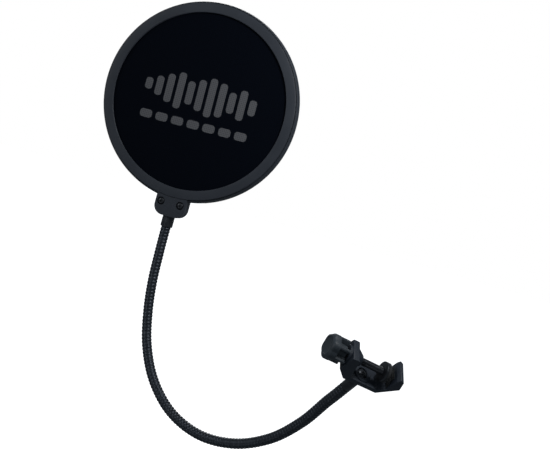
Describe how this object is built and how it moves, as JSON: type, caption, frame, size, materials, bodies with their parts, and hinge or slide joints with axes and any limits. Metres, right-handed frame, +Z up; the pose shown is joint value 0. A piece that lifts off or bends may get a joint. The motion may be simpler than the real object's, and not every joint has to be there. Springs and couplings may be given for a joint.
{
  "type": "pop filter",
  "caption": "Round two-layer mesh screen in a split plastic hoop, on a bendable gooseneck arm with a small C-clamp tightened by a star knob.",
  "frame": {"origin": "centre of the clamp's fixed grip face, on the clamp screw's axis", "axes": "+Z up along the upright screen, towards its top; -Y out of the screen's printed face; +X from the screen's side towards the clamp"},
  "size_m": [0.2825, 0.1361, 0.3146],
  "materials": {
    "hoop_plastic": "fine satin",
    "mesh_fabric": "black nylon mesh",
    "arm_steel": "black-finished wound steel",
    "dark_steel": "black-finished steel",
    "clamp_plastic": "satin moulded",
    "knob_plastic": "satin moulded",
    "grip_rubber": "matte"
  },
  "bodies": {
    "clamp": {"clamp_body": "clamp_plastic", "clamp_nut": "dark_steel", "jaw_liner": "grip_rubber"},
    "neck_base": {"lower_ferrule": "dark_steel", "swivel_screw": "dark_steel", "gooseneck_01": "arm_steel"},
    "link_1": {"gooseneck_02": "arm_steel"},
    "link_2": {"gooseneck_03": "arm_steel"},
    "link_3": {"gooseneck_04": "arm_steel"},
    "link_4": {"gooseneck_05": "arm_steel"},
    "link_5": {"gooseneck_06": "arm_steel"},
    "link_6": {"gooseneck_07": "arm_steel"},
    "link_7": {"gooseneck_08": "arm_steel"},
    "head": {"gooseneck_09": "arm_steel", "upper_ferrule": "dark_steel", "front_hoop": "hoop_plastic", "rear_hoop": "hoop_plastic", "front_mesh": "mesh_fabric", "rear_mesh": "mesh_fabric", "tab_screw_left": "dark_steel", "tab_screw_right": "dark_steel"},
    "pad": {"pressure_pad": "dark_steel", "pad_facing": "grip_rubber"},
    "screw": {"clamp_screw": "dark_steel", "knob": "knob_plastic"}
  },
  "joints": [
    {"name": "clamp_swivel", "type": "hinge", "parent": "clamp", "child": "neck_base", "pos_m": [-0.01738, -0.00195, -0.00415], "axis": [0.4489, -0.4998, 0.7407], "range_deg": [-150, 150]},
    {"name": "neck_bend_1", "type": "hinge", "parent": "neck_base", "child": "link_1", "pos_m": [-0.0341, 0.01744, -0.03161], "axis": [0.5595, 0.7906, 0.2488], "range_deg": [-40, 15]},
    {"name": "neck_bend_2", "type": "hinge", "parent": "link_1", "child": "link_2", "pos_m": [-0.05322, 0.0367, -0.06165], "axis": [0.6635, -0.2697, -0.6979], "range_deg": [-30, 30]},
    {"name": "neck_bend_3", "type": "hinge", "parent": "link_2", "child": "link_3", "pos_m": [-0.08159, 0.05172, -0.08587], "axis": [0.3143, 0.9493, 0.0047], "range_deg": [-40, 15]},
    {"name": "neck_bend_4", "type": "hinge", "parent": "link_3", "child": "link_4", "pos_m": [-0.1192, 0.06242, -0.09476], "axis": [-0.0262, 0.0976, -0.9949], "range_deg": [-30, 30]},
    {"name": "neck_bend_5", "type": "hinge", "parent": "link_4", "child": "link_5", "pos_m": [-0.15536, 0.07375, -0.08186], "axis": [0.4333, 0.8974, 0.0832], "range_deg": [-40, 15]},
    {"name": "neck_bend_6", "type": "hinge", "parent": "link_5", "child": "link_6", "pos_m": [-0.17986, 0.08564, -0.05233], "axis": [-0.7569, 0.4182, -0.5022], "range_deg": [-30, 30]},
    {"name": "neck_bend_7", "type": "hinge", "parent": "link_6", "child": "link_7", "pos_m": [-0.19112, 0.09309, -0.01427], "axis": [0.4656, 0.8841, -0.0409], "range_deg": [-40, 15]},
    {"name": "neck_bend_8", "type": "hinge", "parent": "link_7", "child": "head", "pos_m": [-0.19509, 0.09941, 0.02556], "axis": [-0.8813, 0.4496, -0.1455], "range_deg": [-30, 30]},
    {"name": "screw_slide", "type": "slide", "parent": "clamp", "child": "pad", "axis": [0.8622, 0.4601, -0.212], "range_m": [-0.016, 0.0006]},
    {"name": "knob_turn", "type": "hinge", "parent": "pad", "child": "screw", "pos_m": [0, 0, 0], "axis": [0.8622, 0.4601, -0.212], "range_deg": [-7200, 270]}
  ],
  "couplings": [
    {"joint": "knob_turn", "follows": "screw_slide", "rad_per_m": 7854}
  ]
}
